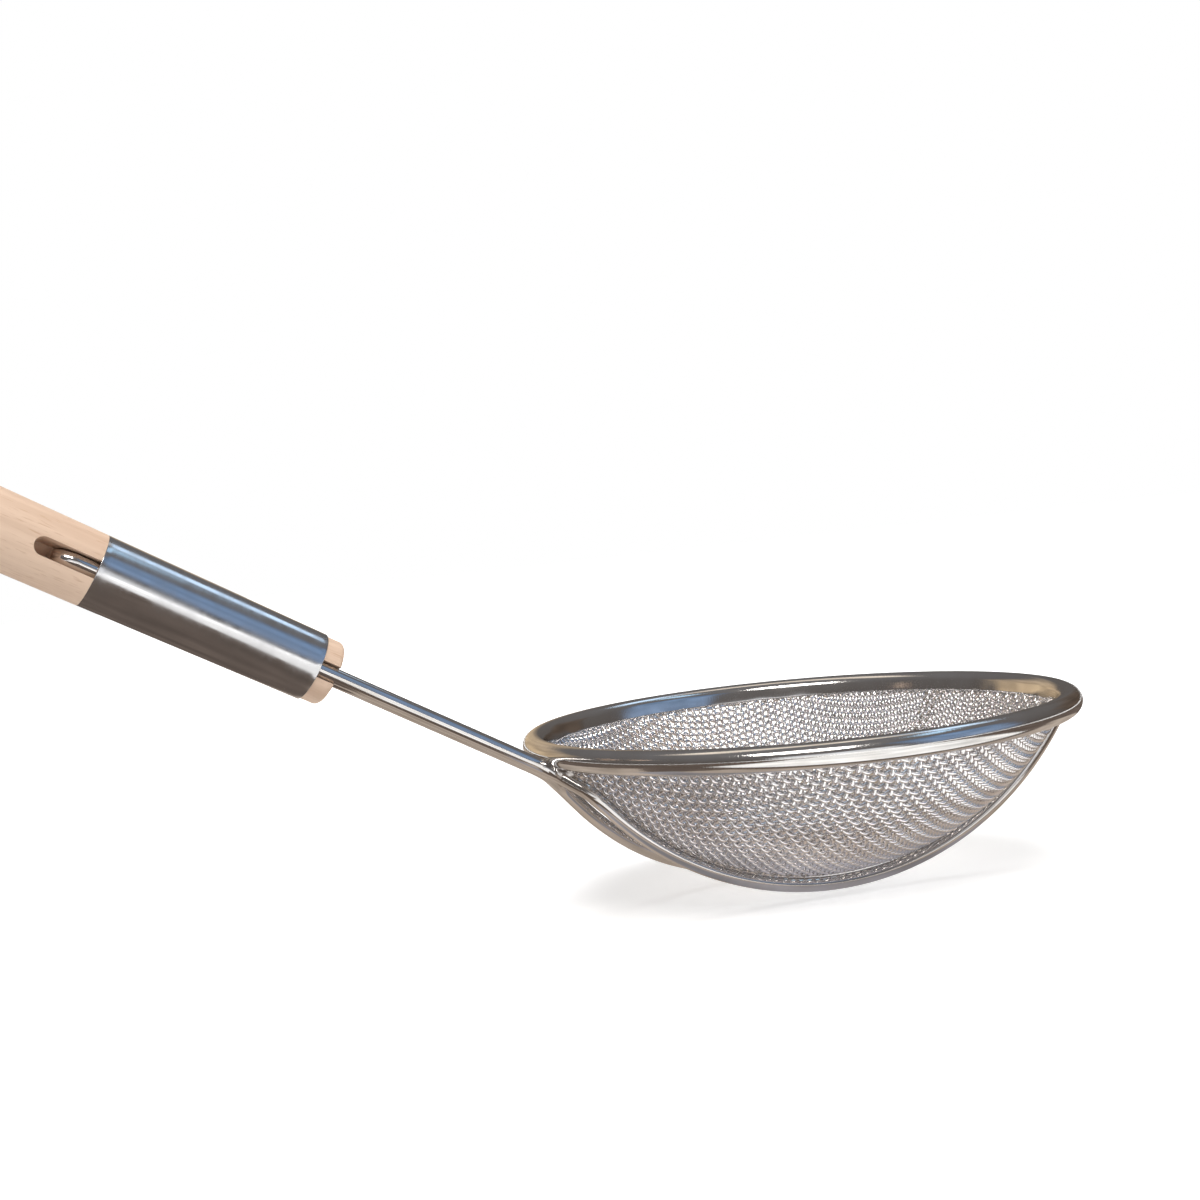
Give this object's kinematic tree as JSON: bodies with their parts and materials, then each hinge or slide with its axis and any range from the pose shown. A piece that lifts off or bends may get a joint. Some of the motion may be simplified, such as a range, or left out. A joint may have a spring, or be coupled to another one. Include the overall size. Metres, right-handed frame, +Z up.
{
  "type": "spider skimmer",
  "caption": "Hand skimmer for lifting food from a pot: fine woven bowl in a rolled rim, on a wire shank with a ferrule and a turned wooden handle.",
  "frame": {"origin": "middle of the bounding box, at the height of the lowest point of the support wires", "axes": "+Z up and square to the rim, +X from the handle towards the bowl's front, +Y towards the left wire"},
  "size_m": [0.3998, 0.14, 0.1935],
  "materials": {
    "wood": "bare, sanded",
    "ferrule_steel": "finely brushed",
    "wire_steel": "bright drawn",
    "rim_steel": "polished",
    "mesh_steel": "bright woven wire",
    "weld_steel": "as welded"
  },
  "bodies": {
    "root": {"wooden_handle": "wood", "ferrule": "ferrule_steel", "right_support_wire": "wire_steel", "left_support_wire": "wire_steel", "rim_band": "rim_steel", "rim_core_wire": "wire_steel", "mesh_bowl": "mesh_steel", "weld_beads": "weld_steel"}
  },
  "joints": []
}
